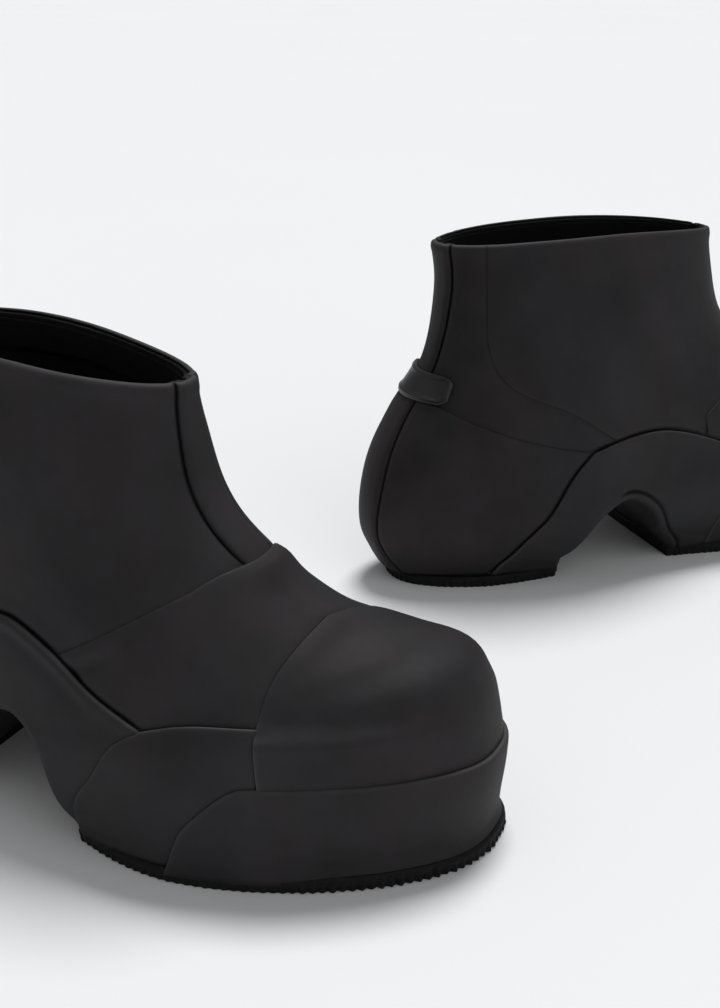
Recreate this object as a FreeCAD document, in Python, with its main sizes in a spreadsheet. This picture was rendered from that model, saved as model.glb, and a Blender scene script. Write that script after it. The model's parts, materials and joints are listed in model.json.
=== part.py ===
import FreeCAD, Part
import math
import os

# A pair of black rubber platform ankle boots, hand laid from overlapping sheet panels.
# The right boot is modelled in its own frame: +X to the toe, +Y to the inner (medial) side,
# +Z up, with the floor at Z = 0. The left boot is its mirror image. The pair then stands
# on the floor as worn off: the right boot turned outwards in front, the left boot behind.

V = FreeCAD.Vector
os.makedirs("parts", exist_ok=True)
doc = FreeCAD.newDocument("platform_ankle_boots")

# ---------------------------------------------------------------- driving dimensions

# Stations down the boot, from the collar to the ground. Each one is a closed ring:
# front x and z, back x and z, height at mid side, half width near the front, at mid side
# and near the back, and how square the ring is (1 is an ellipse, less is squarer).
STATION_KEYS = ("front_x", "front_z", "back_x", "back_z", "side_z",
                "front_wide", "side_wide", "back_wide", "square")
STATIONS = {
    "above":    (188, 200, 30, 200, 200, 26, 24, 32, 1.00),
    "collar":   (189, 168, 31, 171, 174, 31, 28, 35, 1.00),
    "shaft":    (191, 150, 33, 148, 148, 37, 37, 38, 1.00),
    "ankle":    (197, 127, 27, 114, 120, 43, 43, 41, 0.98),
    "instep":   (211, 109, 10, 88, 93, 47, 45, 43, 0.92),
    "vamp":     (239, 87, 0, 68, 70, 51, 47, 45, 0.88),
    "crown":    (265, 79, -5, 47, 52, 55, 48, 45, 0.86),
    "toe_edge": (284, 70, -5, 28, 41, 58, 50, 45, 0.83),
    "toe_wall": (292, 42, 0, 15, 26, 58, 50, 44, 0.82),
    "foot":     (293, 14, 6, 5, 12, 58, 45, 41, 0.84),
    "ground":   (293, 0, 11, 0, 0, 58, 45, 42, 0.85),
    "below":    (293, -15, 11, -15, -15, 58, 45, 42, 0.85),
}

DIMENSIONS = {
    "toe_swing": 16,           # the toe turns in to the medial side by this much
    "waist_bulge": 11,         # the waist bows out to the lateral side by this much
    "swing_start": 90,         # x where the foot starts to curve
    "swing_length": 200,
    "panel_proud": 0.8,        # the toe bumper stands out from the other sheets
    "leg_sunk": 0.5,           # the leg panels lie under their neighbours' edges
    "quarter_sunk": 0.9,
    "rubber": 2.2,             # sheet thickness of the outer rubber
    "interlining": 0.8,
    "lining": 1.2,
    "tape": 0.7,
    "label": 1.4,
    "outsole": 5.5,
    "insole_board": 2.0,
    "footbed": 4.0,
    "shank_wide": 16,
    "shank_thick": 1.6,
    "arch_skin": 2.2,          # rubber sheet that lines the arch
    "heel_front": 93,          # x where the heel block ends and the waist starts
    "forepart_rear": 150,      # x where the waist ends and the forepart starts
    "midline": -5,             # a plane that lies inside both the front and back strips
    "reach": 100,              # half length of every cutting prism
    "strip_half": 8.5,
    "tooth_pitch": 3.4,
    "tooth_depth": 1.6,
    "welt": 0.8,               # the outsole's tooth roots stand this far out
    "tuck_reach": 44,          # length of the outsole's rounded corners at the arch
    "tuck_depth": 11,
    "seam_sweep": 0.35,        # how far the cap and vamp seams run forward on the medial side
    "groove_wide": 4,
    "groove_deep": 2,
    "groove_pitch": 12,
    "groove_long": 60,
    "right_x": -253.8,
    "right_y": -50.5,
    "right_yaw": -25,
    "left_x": -23.8,
    "left_y": 65.5,
    "left_yaw": 20.5,
}

sheet = doc.addObject("Spreadsheet::Sheet", "Dims")
row = 0
for alias, value in DIMENSIONS.items():
    row += 1
    sheet.set("A%d" % row, str(value))
    sheet.setAlias("A%d" % row, alias)
for station, values in STATIONS.items():
    for key, value in zip(STATION_KEYS, values):
        row += 1
        sheet.set("A%d" % row, str(value))
        sheet.setAlias("A%d" % row, station + "_" + key)
doc.recompute()


def size(alias):
    return float(sheet.get(alias))


# ---------------------------------------------------------------- the boot's surface

RINGS = [[size(station + "_" + key) for key in STATION_KEYS] for station in STATIONS]
RING_STEPS = 20                # steps along each side of a ring
STATION_STEPS = 2              # steps between two stations


def centreline(x):
    """Sideways place of the boot's middle at x."""
    u = min(max((x - size("swing_start")) / size("swing_length"), 0.0), 1.05)
    return size("toe_swing") * u ** 3 - size("waist_bulge") * 16 * u * u * (1 - u) ** 2


def blended_ring(v):
    """Ring v stations down from the first, on a smooth curve through the stations."""
    i = min(int(v), len(RINGS) - 2)
    f = v - i
    here, after = RINGS[i], RINGS[i + 1]
    before = RINGS[i - 1] if i > 0 else [2 * a - b for a, b in zip(here, after)]
    beyond = RINGS[i + 2] if i + 2 < len(RINGS) else [2 * b - a for a, b in zip(here, after)]
    return [0.5 * (2 * b + (c - a) * f + (2 * a - 5 * b + 4 * c - d) * f * f
                   + (3 * b - a - 3 * c + d) * f ** 3)
            for a, b, c, d in zip(before, here, after, beyond)]


def surface_point(v, turn):
    """Point on the outer surface: turn is -1 and 1 at the back and 0 at the front."""
    front_x, front_z, back_x, back_z, side_z, front_w, side_w, back_w, square = blended_ring(v)
    angle = math.pi * abs(turn)
    along = (1 - math.cos(angle)) / 2
    to_front = (1 - along) * (1 - 2 * along)
    to_side = 4 * along * (1 - along)
    to_back = along * (2 * along - 1)
    wide = front_w * to_front + side_w * to_side + back_w * to_back
    x = front_x - (front_x - back_x) * along
    y = math.copysign(wide * max(math.sin(angle), 0.0) ** square, turn)
    z = front_z * to_front + side_z * to_side + back_z * to_back
    return V(x, y + centreline(x), z)


def inset_point(v, turn, inset):
    """The surface point moved inwards along the surface's normal."""
    nudge = 0.01
    last = len(RINGS) - 1
    down = surface_point(min(v + nudge, last), turn) - surface_point(max(v - nudge, 0), turn)
    if abs(turn) > 1 - nudge:
        ahead = surface_point(v, 1 - nudge)
        behind = surface_point(v, nudge - 1)
    else:
        ahead = surface_point(v, turn - nudge)
        behind = surface_point(v, turn + nudge)
    normal = (ahead - behind).cross(down)
    if v in (0, last):
        normal.z = 0
    normal.normalize()
    point = surface_point(v, turn)
    return point - normal * inset


def half_faces(inset):
    """Lateral and medial halves of the surface, which meet along the front and the back."""
    grid = []
    for i in range(STATION_STEPS * (len(RINGS) - 1) + 1):
        v = i / STATION_STEPS
        ring = [inset_point(v, j / RING_STEPS, inset) for j in range(-RING_STEPS, RING_STEPS)]
        grid.append(ring + [ring[0]])
    surface = Part.BSplineSurface()
    surface.interpolate(grid)
    down_start, down_end, round_start, round_end = surface.bounds()
    middle = (round_start + round_end) / 2
    faces = []
    for start, end in ((round_start, middle), (middle, round_end)):
        half = surface.copy()
        half.segment(down_start, down_end, start, end)
        faces.append(half.toShape())
    return faces


def skin_solid(name, inset):
    """Closed solid of the whole boot's outer form, its surface moved in by inset."""
    halves = half_faces(inset)
    level = [edge for half in halves for edge in half.Edges if edge.BoundBox.ZLength < 0.001]
    caps = []
    for top in (True, False):
        ends = [edge for edge in level if (edge.BoundBox.ZMax > 0) == top]
        caps.append(Part.Face(Part.Wire(Part.__sortEdges__(ends))))
    shell = Part.Shell(halves + caps)
    shell.sewShape()
    solid = Part.Solid(shell)
    if solid.Volume < 0:
        solid.reverse()
    item = doc.addObject("Part::Feature", name)
    item.Shape = solid
    return item


rubber = size("rubber")
interlining = rubber + size("interlining")
lining = interlining + size("lining")
tape = lining + size("tape")
outer = skin_solid("OuterForm", 0)
proud_form = skin_solid("ProudForm", -size("panel_proud"))
label_form = skin_solid("LabelForm", -size("label"))
leg_form = skin_solid("LegForm", size("leg_sunk"))
quarter_form = skin_solid("QuarterForm", size("quarter_sunk"))
rubber_inside = skin_solid("RubberInside", rubber)
interlining_inside = skin_solid("InterliningInside", interlining)
lining_inside = skin_solid("LiningInside", lining)
tape_inside = skin_solid("TapeInside", tape)

# ---------------------------------------------------------------- outlines and prisms

ON_SIDE = FreeCAD.Rotation(V(1, 0, 0), 90)         # sketch x, y lie along X, Z
ON_BACK = FreeCAD.Rotation(V(1, 1, 1), 120)        # sketch x, y lie along Y, Z
FLAT = FreeCAD.Rotation()


def outline(name, stretches, rotation, origin):
    """Closed sketch. A stretch of two points is a line, and a longer one a smooth curve."""
    sketch = doc.addObject("Sketcher::SketchObject", name)
    sketch.Placement = FreeCAD.Placement(origin, rotation)
    for stretch in stretches:
        points = [V(a, b, 0) for a, b in stretch]
        if len(points) == 2:
            sketch.addGeometry(Part.LineSegment(points[0], points[1]))
        else:
            curve = Part.BSplineCurve()
            curve.interpolate(points)
            sketch.addGeometry(curve)
    return sketch


def closed(*stretches):
    """The stretches in order, with straight lines between their ends."""
    joined = []
    for here, after in zip(stretches, stretches[1:] + stretches[:1]):
        if len(here) > 1:
            joined.append(here)
        if here[-1] != after[0]:
            joined.append([here[-1], after[0]])
    return joined


def prism(name, stretches, side="both", rotation=ON_SIDE, axis=V(0, 1, 0), origin=None):
    """Solid cut from side to side by an outline, or only on one side of the midline."""
    place = origin or V(0, size("midline"), 0)
    tool = doc.addObject("Part::Extrusion", name)
    tool.Base = outline(name + "Outline", stretches, rotation, place)
    tool.DirMode = "Custom"
    tool.Dir = -axis if side == "lateral" else axis
    tool.setExpression("LengthFwd", "Dims.reach")
    if side == "both":
        tool.setExpression("LengthRev", "Dims.reach")
    tool.Solid = True
    return tool


def swept_prism(name, stretches):
    """As a prism on the lateral side, but with an outline that runs forward on the medial side."""
    halves = doc.addObject("Part::MultiFuse", name)
    halves.Shapes = [prism(name + "Lateral", stretches, "lateral"),
                     prism(name + "Medial", stretches, "medial", axis=V(size("seam_sweep"), 1, 0))]
    return halves


def cut(name, base, tool):
    item = doc.addObject("Part::Cut", name)
    item.Base = base
    item.Tool = tool
    return item


def common(name, *shapes):
    item = doc.addObject("Part::MultiCommon", name)
    item.Shapes = list(shapes)
    return item


nodes = {}


def keep(node, item):
    """Names a finished piece, which is one node of each boot."""
    item.Label = "right_" + node
    nodes[node] = item
    return item


# ---------------------------------------------------------------- rim, floor and arch

sole = size("outsole")
RIM = [(-30, 168), (31, 171), (75, 173.5), (115, 174), (155, 171.5), (189, 168), (230, 162)]
below_rim = prism("BelowRim", closed(RIM, [(330, 162)], [(330, sole)], [(-30, sole)]))


def arch_points(side, grow):
    """The arch under the waist. It is higher and further forward on the lateral side."""
    if side == "lateral":
        middle = [(96, 10), (104, 28), (116, 43), (133, 50.5), (147, 43), (153, 27), (156, 8)]
    else:
        middle = [(89, 10), (96, 21), (108, 34), (122, 40.5), (135, 33), (143, 19), (156, 7)]
    grown = []
    for i, (x, z) in enumerate(middle):
        before = middle[max(i - 1, 0)]
        after = middle[min(i + 1, len(middle) - 1)]
        run_x, run_z = after[0] - before[0], after[1] - before[1]
        run = math.hypot(run_x, run_z)
        grown.append((x - grow * run_z / run, z + grow * run_x / run))
    return grown


def arch_tool(name, grow):
    """Opening from side to side between the heel and the forepart."""
    sections = []
    for side, y in (("lateral", -60), ("medial", 60)):
        points = arch_points(side, grow)
        heel_foot = (points[0][0] - 3, -20)
        toe_foot = (points[-1][0] + 3, -20)
        loop = closed(points, [toe_foot], [heel_foot])
        sections.append(outline(name + side, loop, ON_SIDE, V(0, y, 0)))
    tool = doc.addObject("Part::Loft", name)
    tool.Sections = sections
    tool.Solid = True
    tool.Ruled = True
    return tool


arch = arch_tool("Arch", 0)
arch_wide = arch_tool("ArchWide", size("arch_skin"))

# ---------------------------------------------------------------- outer rubber sheets

TOE_CAP_REAR = [(231, 43), (229.5, 60), (230, 74), (233, 83), (239, 93)]
BUMPER_TOP = [(231, 43), (262, 42), (305, 39.5)]
BUMPER_REAR = [(231, 43), (223, 41.5), (212, 32), (203, 20), (194, -5)]
FOXING_TOP = [(262, 63.5), (222, 63.5), (205, 62.5), (191, 59)]
FOXING_REAR = {
    "lateral": [(191, 59), (181, 52), (173, 39), (164, 25), (155, -5)],
    "medial": [(191, 59), (187, 48), (184, 33), (180, 18), (174, -5)],
}
BAND_TOP = {
    "lateral": [(100, 70.5), (115, 81), (134, 88), (154, 80), (172, 68), (191, 59), (205, 52)],
    "medial": [(100, 70.5), (119, 75), (138, 76), (154, 73), (172, 67), (191, 59), (205, 52)],
}
HEEL_TOP = [(-20, 101), (18, 97.5), (38, 89), (58, 81), (79, 75), (100, 70.5)]
HEEL_FRONT = [(100, 70.5), (90, 59), (79, 39.5), (62, 20.5), (46, -5)]
VAMP_TOP = [(240, 106), (211, 107.5), (199, 102), (187, 95.6), (173, 87.5), (157, 78.5)]
QUARTER_FRONT = [(49, 210), (49, 150), (49.5, 122), (59, 105), (88, 91.5), (107, 79), (122, 70)]
BACK_STRIP = [(9.5, 210), (9, 150), (7.5, 115), (10, 88), (12, 55), (10.5, 22), (15, -5)]
FAR = 320
DEEP = -20

sheets = cut("RubberSheets", outer, rubber_inside)
sheets = common("RubberTrimmed", sheets, below_rim)
sheets = cut("RubberOverArch", sheets, arch)
rest = sheets


def lay_panel(node, tool, form=None):
    """Takes one panel out of the rest of the rubber; form sets how deep its face lies."""
    global rest
    panel = common(node, rest, tool)
    if form:
        panel = common(node + "Sunk", panel, form)
    rest = cut(node + "Rest", rest, tool)
    return keep(node, panel)


bumper_tool = prism("BumperTool", closed(BUMPER_REAR, [(FAR, -5)], [(FAR, 39)], BUMPER_TOP[::-1]))
bumper_band = cut("BumperBand", proud_form, rubber_inside)
keep("toe_bumper", common("toe_bumper", bumper_band, bumper_tool, below_rim))
rest = cut("BumperRest", rest, bumper_tool)

toe_cap_loop = closed(TOE_CAP_REAR, [(FAR, 93)], [(FAR, 20)], [(231, 20)])
lay_panel("toe_cap", swept_prism("ToeCapTool", toe_cap_loop))

strip_edge = [(y, z) for y, z in BACK_STRIP]
strip_mirror = [(-y, z) for y, z in reversed(BACK_STRIP)]
back_tool = prism("BackStripTool", closed(strip_edge, strip_mirror), "medial", ON_BACK,
                  V(1, 0, 0), V(-55, 0, 0))
lay_panel("back_strip", back_tool)

for side in ("lateral", "medial"):
    loop = closed(HEEL_TOP, HEEL_FRONT, [(-20, -5)])
    lay_panel("heel_cover_" + side, prism("Heel" + side, loop, side))
for side in ("lateral", "medial"):
    loop = closed(FOXING_TOP, FOXING_REAR[side], [(262, -5)])
    lay_panel("side_foxing_" + side, prism("Foxing" + side, loop, side))
for side in ("lateral", "medial"):
    loop = closed(BAND_TOP[side], [(205, -10)], [(40, -10)], [(60, 60)])
    lay_panel("arch_band_" + side, prism("Band" + side, loop, side))

vamp_loop = closed(VAMP_TOP, [(157, 30)], [(FAR, 30)], [(FAR, 106)])
lay_panel("vamp", swept_prism("VampTool", vamp_loop))

strip_half = size("strip_half")
STRIP_X = [240, 215, 190, 165, 140]
inner_edge = [(x, centreline(x) + strip_half) for x in STRIP_X]
outer_edge = [(x, centreline(x) - strip_half) for x in reversed(STRIP_X)]
front_tool = prism("FrontStripTool", closed(inner_edge, outer_edge), "medial", FLAT,
                   V(0, 0, 1), V(0, 0, 85))
front_tool.setExpression("LengthFwd", "Dims.reach * 1.2")
lay_panel("front_strip", front_tool)

for side in ("lateral", "medial"):
    loop = closed(QUARTER_FRONT, [(-20, 70)], [(-20, 210)])
    lay_panel("rear_quarter_" + side, prism("Quarter" + side, loop, side), quarter_form)

for side in ("lateral", "medial"):
    loop = closed([(20, 210)], [(260, 210)], [(260, 40)], [(20, 40)])
    lay_panel("leg_panel_" + side, prism("Leg" + side, loop, side), leg_form)

LABEL = closed([(-30, 98)], [(26, 96)], [(30, 98)], [(34, 107)], [(31.5, 109)], [(-30, 111)])
label_ring = cut("LabelRing", label_form, outer)
keep("heel_label", common("heel_label", label_ring, prism("LabelTool", LABEL)))

# ---------------------------------------------------------------- insole, shank and cores

INSOLE = [(-30, 63), (40, 62.5), (80, 61.5), (115, 58), (150, 51), (185, 45), (225, 43), (320, 45)]


def insole_curve(lift):
    return [(x, z + lift) for x, z in INSOLE]


board_top = size("insole_board")
bed_top = board_top + size("footbed")
under_board = prism("UnderBoard", closed(insole_curve(0), [(320, sole)], [(-30, sole)]))
board_slab = prism("BoardSlab", closed(insole_curve(0), insole_curve(board_top)[::-1]))
bed_slab = prism("BedSlab", closed(insole_curve(board_top), insole_curve(bed_top)[::-1]))
upper_room = prism("UpperRoom", closed(insole_curve(0), [(320, 162)], RIM[::-1]))
foot_room = prism("FootRoom", closed(insole_curve(board_top), [(320, 162)], RIM[::-1]))

keep("insole_board", common("insole_board", interlining_inside, board_slab))
keep("footbed", common("footbed", lining_inside, bed_slab))

SHANK_X = [62, 90, 120, 150, 178]
CURVE_STEPS = 200


def insole_height(x):
    curve = Part.BSplineCurve()
    curve.interpolate([V(a, b, 0) for a, b in INSOLE])
    points = curve.discretize(CURVE_STEPS)
    return min(points, key=lambda point: abs(point.x - x)).y


shank_top = [(x, insole_height(x) - 0.2) for x in SHANK_X]
shank_low = [(x, z - size("shank_thick")) for x, z in reversed(shank_top)]


def shank_body(name):
    """Sprung steel strip under the insole board, from the heel to the ball of the foot."""
    body = doc.addObject("PartDesign::Body", name)
    sketch = body.newObject("Sketcher::SketchObject", name + "Profile")
    plane = [f for f in body.Origin.OriginFeatures if f.Role == "XZ_Plane"][0]
    sketch.AttachmentSupport = [(plane, "")]
    sketch.MapMode = "FlatFace"
    for stretch in closed(shank_top, shank_low):
        points = [V(a, b, 0) for a, b in stretch]
        if len(points) == 2:
            sketch.addGeometry(Part.LineSegment(points[0], points[1]))
        else:
            curve = Part.BSplineCurve()
            curve.interpolate(points)
            sketch.addGeometry(curve)
    pad = body.newObject("PartDesign::Pad", name + "Pad")
    pad.Profile = sketch
    pad.Midplane = True
    pad.setExpression("Length", "Dims.shank_wide")
    return body


keep("shank", shank_body("shank"))
shank_slot = shank_body("ShankSlot")

filling = common("Filling", rubber_inside, under_board)
filling = cut("FillingOverArch", filling, arch_wide)
filling = cut("FillingShankSlot", filling, shank_slot)


def block(name, start, end):
    """Room between two planes across the boot; start and end are sheet names or numbers."""
    room = doc.addObject("Part::Box", name)
    room.setExpression("Length", "%s - (%s)" % (end, start))
    room.setExpression("Width", "2 * Dims.reach")
    room.setExpression("Height", "2 * Dims.reach")
    room.setExpression("Placement.Base.x", str(start))
    room.setExpression("Placement.Base.y", "-Dims.reach")
    return room


heel_room = block("HeelRoom", "-40", "Dims.heel_front")
waist_room = block("WaistRoom", "Dims.heel_front", "Dims.forepart_rear")
forepart_room = block("ForepartRoom", "Dims.forepart_rear", "340")
keep("heel_core", common("heel_core", filling, heel_room))
keep("waist_core", common("waist_core", filling, waist_room))
keep("forepart_core", common("forepart_core", filling, forepart_room))

arch_sheet = cut("ArchSheet", common("ArchBlock", rubber_inside, under_board, arch_wide), arch)
keep("arch_lining", arch_sheet)

# ---------------------------------------------------------------- inner layers

COUNTER_FRONT = [(86, 40), (84, 80), (60, 112), (30, 120), (-30, 121)]
counter_tool = prism("CounterTool", closed(COUNTER_FRONT, [(-30, 40)]))
PUFF_REAR = [(240, 30), (238, 60), (242, 80), (250, 120)]
puff_tool = prism("PuffTool", closed(PUFF_REAR, [(FAR, 120)], [(FAR, 30)]))

between = cut("InterliningShell", rubber_inside, interlining_inside)
between = common("InterliningTrimmed", between, upper_room)
keep("heel_counter", common("heel_counter", between, counter_tool))
keep("toe_puff", common("toe_puff", between, puff_tool))
interlining_rest = cut("InterliningBehindToe", between, puff_tool)
keep("interlining", cut("interlining", interlining_rest, counter_tool))

sock = cut("SockShell", interlining_inside, lining_inside)
keep("lining_sock", common("lining_sock", sock, foot_room))

TAPE_EDGE = [(x, z - 15) for x, z in RIM]
TAPE_TOP = [(x, z - 2) for x, z in RIM]
tape_room = prism("TapeRoom", closed(TAPE_EDGE, TAPE_TOP[::-1]))
tape_ring = cut("TapeRing", lining_inside, tape_inside)
keep("collar_tape", common("collar_tape", tape_ring, tape_room))

# ---------------------------------------------------------------- outsoles

OUTLINE_STEPS = 400


def ground_outline(outset):
    """Closed outline of the sole at the ground, outset from the rubber sheets."""
    last = len(RINGS) - 2
    points = []
    for i in range(OUTLINE_STEPS):
        point = inset_point(last, 2 * i / OUTLINE_STEPS - 1, -outset)
        points.append(V(point.x, point.y, 0))
    return points


def spaced(points, gap):
    """Points about one gap apart along an open run of points."""
    lengths = [0.0]
    for a, b in zip(points, points[1:]):
        lengths.append(lengths[-1] + a.distanceToPoint(b))
    count = max(2, 2 * int(lengths[-1] / gap / 2))
    picked = []
    i = 0
    for k in range(count + 1):
        target = lengths[-1] * k / count
        while i < len(points) - 2 and lengths[i + 1] < target:
            i += 1
        share = (target - lengths[i]) / (lengths[i + 1] - lengths[i])
        picked.append(points[i] + (points[i + 1] - points[i]) * share)
    return picked


def tucked(point, foot_x):
    """The outline's point, moved inwards near the arch foot so that the corner is rounded."""
    near = max(0.0, 1 - abs(point.x - foot_x) / size("tuck_reach"))
    towards = 1 if point.y < centreline(point.x) else -1
    return V(point.x, point.y + towards * size("tuck_depth") * near ** 1.4, 0)


def toothed_run(keep_point, start, foot_x):
    """Pinked edge: points along the kept run, every second one standing out."""
    roots = [tucked(point, foot_x) for point in ground_outline(size("welt"))]
    order = roots[start:] + roots[:start]
    run = spaced([p for p in order if keep_point(p)], size("tooth_pitch") / 2)
    edge = []
    for i, point in enumerate(run):
        before, after = run[max(i - 1, 0)], run[min(i + 1, len(run) - 1)]
        along = after - before
        along.normalize()
        outwards = V(-along.y, along.x, 0)
        middle = V(point.x - 110, point.y - centreline(point.x), 0)
        if outwards.dot(middle) < 0:
            outwards = -outwards
        edge.append(point + outwards * (size("tooth_depth") if i % 2 else 0.0))
    return edge


def outsole(node, edge, groove_xs, groove_half):
    """Toothed rubber slab with shallow blind grooves in its underside."""
    wire = Part.makePolygon(edge + [edge[0]])
    blank = doc.addObject("Part::Feature", node + "Blank")
    blank.Shape = Part.Face(wire).extrude(V(0, 0, size("outsole")))
    bars = []
    for x in groove_xs:
        bar = doc.addObject("Part::Box", node + "Groove")
        bar.setExpression("Length", "Dims.groove_wide")
        bar.Width = 2 * groove_half
        bar.setExpression("Height", "Dims.groove_deep")
        bar.Placement.Base = V(x, centreline(x) - groove_half, 0)
        bars.append(bar)
    grooves = doc.addObject("Part::Compound", node + "Grooves")
    grooves.Links = bars
    return keep(node, cut(node, blank, grooves))


forepart_start = arch_points("lateral", 0)[-1][0]
heel_end = arch_points("medial", 0)[0][0]
pitch = size("groove_pitch")
outsole("outsole_forepart", toothed_run(lambda p: p.x > forepart_start, 0, forepart_start),
        [forepart_start + 8 + pitch * i for i in range(10)], size("groove_long") / 2)
outsole("outsole_heel", toothed_run(lambda p: p.x < heel_end, OUTLINE_STEPS // 2, heel_end),
        [24 + pitch * i for i in range(5)], size("groove_long") / 2 - 8)

# ---------------------------------------------------------------- the pair

doc.recompute()


def standing(side, mirror=1):
    """Where a boot stands on the floor; mirror -1 gives the same place mirrored in Y."""
    place = V(size(side + "_x"), mirror * size(side + "_y"), 0)
    return FreeCAD.Placement(place, FreeCAD.Rotation(V(0, 0, 1), mirror * size(side + "_yaw")))


left_move = standing("left") * standing("right", -1).inverse()
pair = []
for node, item in nodes.items():
    item.Placement = standing("right") * item.Placement
    twin = doc.addObject("Part::Mirroring", "left_" + node)
    twin.Source = item
    twin.Normal = V(0, 1, 0)
    twin.Label = "left_" + node
    twin.Placement = left_move
    pair += [item, twin]
doc.recompute()

for item in doc.Objects:
    if "Invalid" in item.State or "Error" in item.State:
        raise RuntimeError(item.Name + " failed: " + str(item.State))
for item in pair:
    shape = item.Shape
    if shape.isNull() or not shape.isValid() or not shape.Solids:
        raise RuntimeError(item.Label + " has no valid solid")
for item in pair:
    item.Shape.exportStep("parts/" + item.Label + ".step")
    box = item.Shape.BoundBox
    print("%-28s solids %d  %8.1f mm3  z %6.1f to %6.1f" % (
        item.Label, len(item.Shape.Solids), item.Shape.Volume, box.ZMin, box.ZMax))
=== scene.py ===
import json
import math
from collections import namedtuple

import bmesh
import bpy
import numpy as np
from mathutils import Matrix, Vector
from mathutils.bvhtree import BVHTree


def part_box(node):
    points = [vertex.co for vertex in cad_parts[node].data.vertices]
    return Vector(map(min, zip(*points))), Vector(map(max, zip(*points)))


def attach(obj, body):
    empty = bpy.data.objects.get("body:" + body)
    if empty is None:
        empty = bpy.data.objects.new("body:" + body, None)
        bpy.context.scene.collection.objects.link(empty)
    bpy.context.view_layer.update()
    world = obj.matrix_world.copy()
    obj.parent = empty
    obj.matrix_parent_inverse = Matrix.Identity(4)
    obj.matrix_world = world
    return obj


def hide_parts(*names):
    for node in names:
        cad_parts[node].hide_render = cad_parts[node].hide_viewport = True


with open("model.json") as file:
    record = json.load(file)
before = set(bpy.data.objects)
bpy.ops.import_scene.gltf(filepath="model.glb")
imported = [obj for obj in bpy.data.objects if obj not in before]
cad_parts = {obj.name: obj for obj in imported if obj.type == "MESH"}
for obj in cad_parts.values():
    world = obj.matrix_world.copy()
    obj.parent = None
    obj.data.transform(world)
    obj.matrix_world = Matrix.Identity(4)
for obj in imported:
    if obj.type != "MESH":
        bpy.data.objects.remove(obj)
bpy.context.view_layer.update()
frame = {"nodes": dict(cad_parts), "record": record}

# A pair of black rubber platform ankle boots, laid up by hand from overlapping sheets.
# Each boot is worked out in its own frame in millimetres, the right one with +X to the toe,
# +Y to the medial side and +Z up from the floor. The left boot is its mirror image.

MM = 0.001
BOOTS = {"right": 1, "left": -1}                # sign of Y
SIDES = ("lateral", "medial")
YAW = {"right": math.radians(-25), "left": math.radians(20.5)}

# ------------------------------------------------------------------ the boot's surface

# Rings down the boot: front x and z, back x and z, height at mid side, half width near the
# front, at mid side and near the back, and how square the ring is.
STATIONS = np.array([
    (188, 200, 30, 200, 200, 26, 24, 32, 1.00),     # above the collar
    (189, 168, 31, 171, 174, 31, 28, 35, 1.00),     # collar
    (191, 150, 33, 148, 148, 37, 37, 38, 1.00),     # shaft
    (197, 127, 27, 114, 120, 43, 43, 41, 0.98),     # ankle
    (211, 109, 10, 88, 93, 47, 45, 43, 0.92),       # instep
    (239, 87, 0, 68, 70, 51, 47, 45, 0.88),         # vamp
    (265, 79, -5, 47, 52, 55, 48, 45, 0.86),        # crown of the toe
    (284, 70, -5, 28, 41, 58, 50, 45, 0.83),        # edge of the toe
    (292, 42, 0, 15, 26, 58, 50, 44, 0.82),         # wall of the toe
    (293, 14, 6, 5, 12, 58, 45, 41, 0.84),          # foot
    (293, 0, 11, 0, 0, 58, 45, 42, 0.85),           # ground
    (293, -15, 11, -15, -15, 58, 45, 42, 0.85),     # below the ground
])
TOE_SWING = 16
WAIST_BULGE = 11
SWING_START = 90
SWING_LENGTH = 200
AROUND = 150                    # grid steps along each side of a ring
ROW_GAP = 2.2                   # about this far between grid rows
FIRST_ROW = 0.7                 # the grid starts a little above the collar
LAST_ROW = 9.75                 # and ends just inside the outsole
NUDGE = 0.012                   # step to either side when a slope is measured
SOLE = 5.5                      # outsole thickness


def centreline(x):
    u = np.clip((np.asarray(x, float) - SWING_START) / SWING_LENGTH, 0, 1.05)
    return TOE_SWING * u ** 3 - WAIST_BULGE * 16 * u * u * (1 - u) ** 2


def smooth_between(a, b, c, d, f):
    """The smooth curve from b to c, a share f of the way, with a before and d beyond."""
    return 0.5 * (2 * b + (c - a) * f + (2 * a - 5 * b + 4 * c - d) * f ** 2
                  + (3 * b - a - 3 * c + d) * f ** 3)


def blended_ring(v):
    """Ring v stations down, on a smooth curve through the stations."""
    i = np.minimum(v.astype(int), len(STATIONS) - 2)
    f = (v - i)[..., None]
    here, after = STATIONS[i], STATIONS[i + 1]
    before = np.where((i > 0)[..., None], STATIONS[np.maximum(i - 1, 0)], 2 * here - after)
    last = len(STATIONS) - 1
    beyond = np.where((i + 2 <= last)[..., None], STATIONS[np.minimum(i + 2, last)],
                      2 * after - here)
    return smooth_between(before, here, after, beyond, f)


def surface(v, turn):
    """Points on the outer surface: turn is -1 and 1 at the back and 0 at the front."""
    ring = blended_ring(np.asarray(v, float))
    front_x, front_z, back_x, back_z, side_z, front_w, side_w, back_w, square = (
        ring[..., k] for k in range(9))
    turn = (np.asarray(turn, float) + 1) % 2 - 1
    angle = np.pi * np.abs(turn)
    along = (1 - np.cos(angle)) / 2
    to_front = (1 - along) * (1 - 2 * along)
    to_side = 4 * along * (1 - along)
    to_back = along * (2 * along - 1)
    wide = front_w * to_front + side_w * to_side + back_w * to_back
    x = front_x - (front_x - back_x) * along
    y = np.sign(turn) * wide * np.maximum(np.sin(angle), 0) ** square
    z = front_z * to_front + side_z * to_side + back_z * to_back
    return np.stack([x, y + centreline(x), z], -1)


def normals(v, turn):
    down = surface(v + NUDGE, turn) - surface(v - NUDGE, turn)
    backwards = surface(v, turn - NUDGE) - surface(v, turn + NUDGE)
    across = np.cross(backwards, down)
    return across / np.linalg.norm(across, axis=-1, keepdims=True)


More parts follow.
